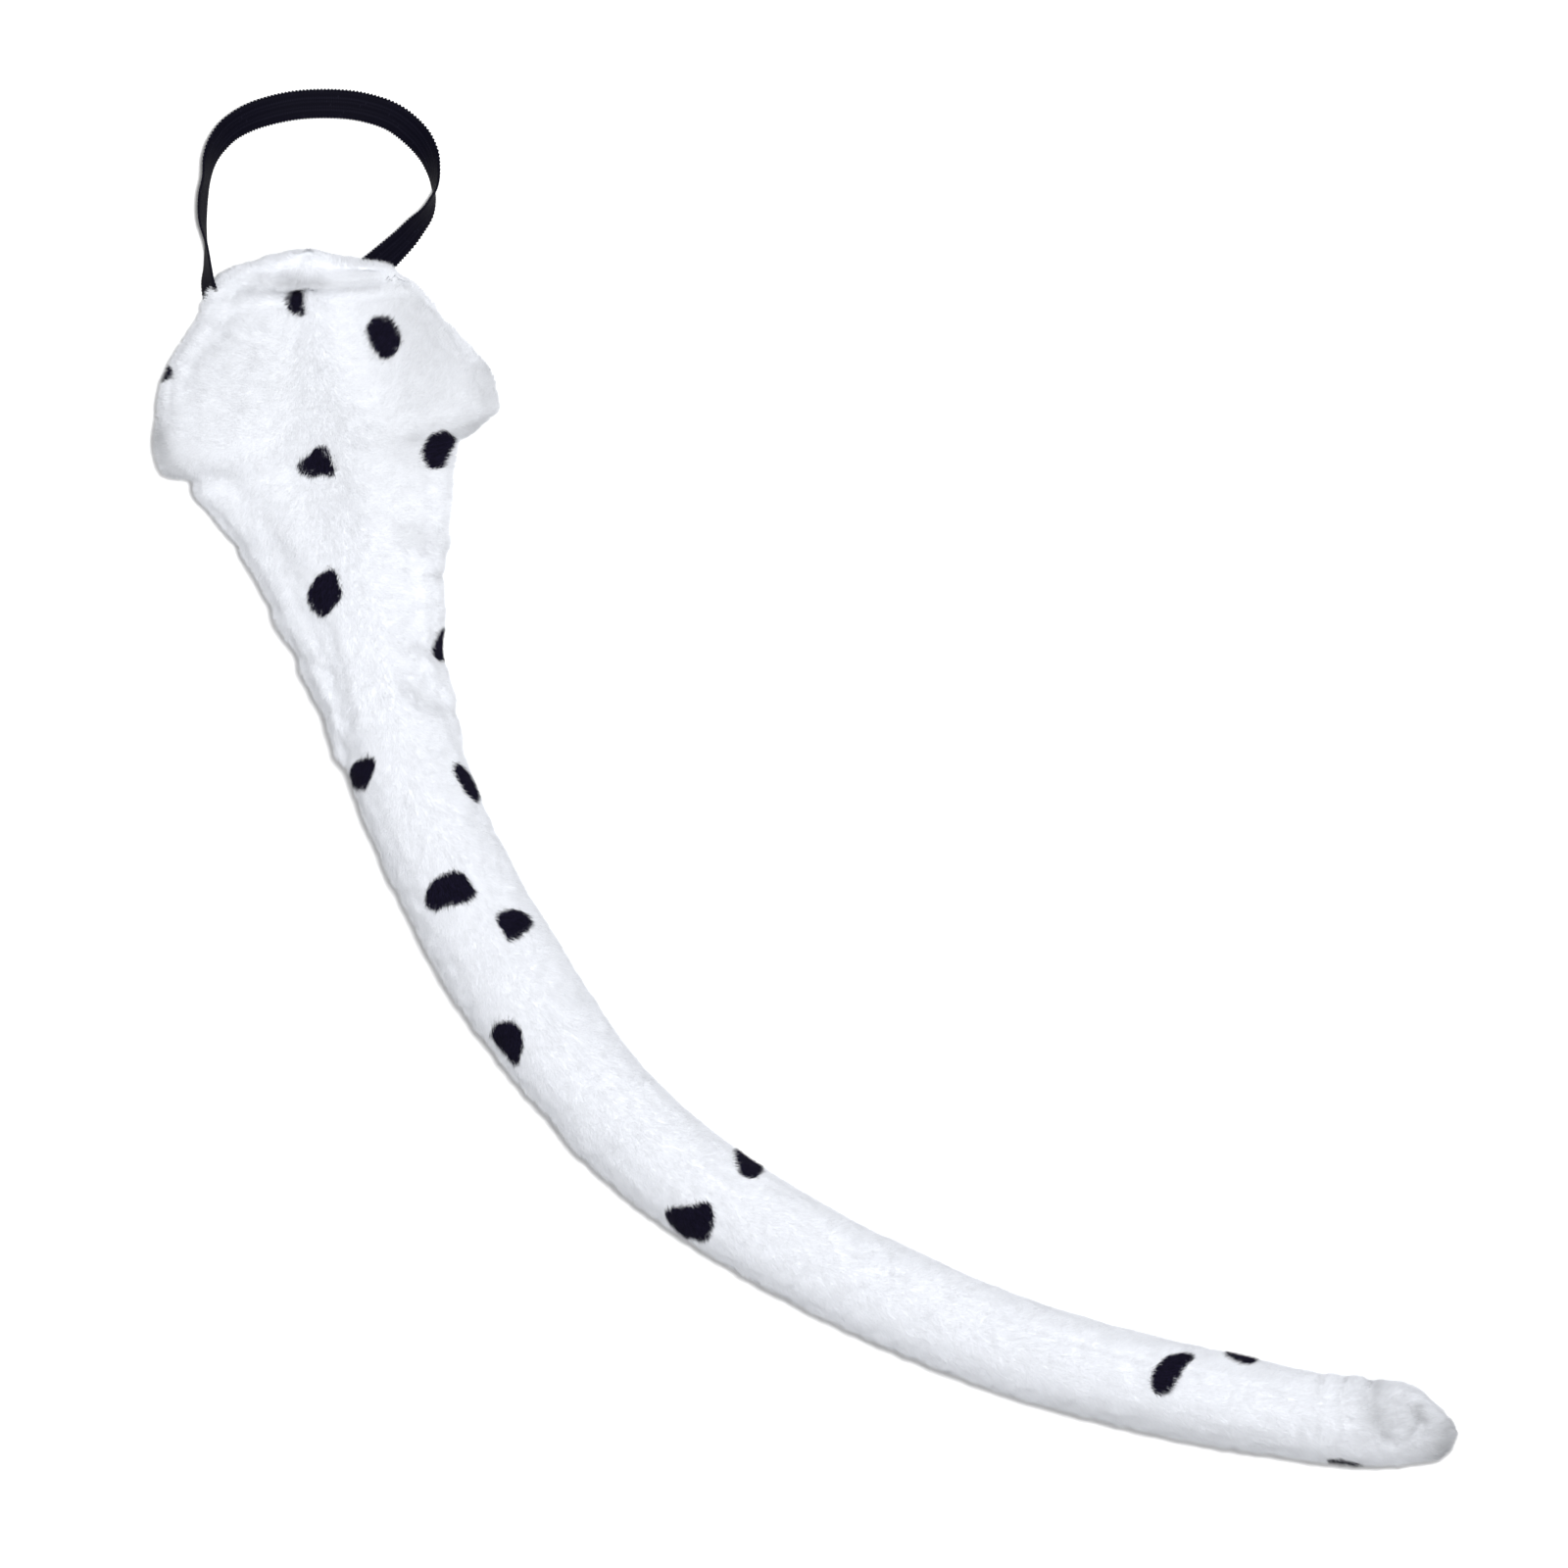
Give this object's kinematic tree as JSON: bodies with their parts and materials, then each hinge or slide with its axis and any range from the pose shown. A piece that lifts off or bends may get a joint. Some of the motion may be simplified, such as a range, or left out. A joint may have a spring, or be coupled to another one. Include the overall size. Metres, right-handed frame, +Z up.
{
  "type": "costume animal tail",
  "caption": "Stuffed white plush costume tail with dark spots, a wide spade-shaped head and a black elastic loop through its top hem.",
  "frame": {"origin": "on the surface that the tail lies on, under the middle of its bounding box", "axes": "+Z up from the surface it lies on, out of the tail's front; +Y from the tail towards the elastic loop; +X towards the side that the tip points to"},
  "size_m": [0.4412, 0.4688, 0.035],
  "materials": {
    "plush": "short-pile plush, bluish white with printed near-black spots",
    "fibre_fill": "loose white polyester fibre",
    "elastic": "flat woven black elastic, matt"
  },
  "bodies": {
    "root": {"left_panel": "plush", "right_panel": "plush", "stuffing": "fibre_fill", "elastic_loop": "elastic"}
  },
  "joints": []
}
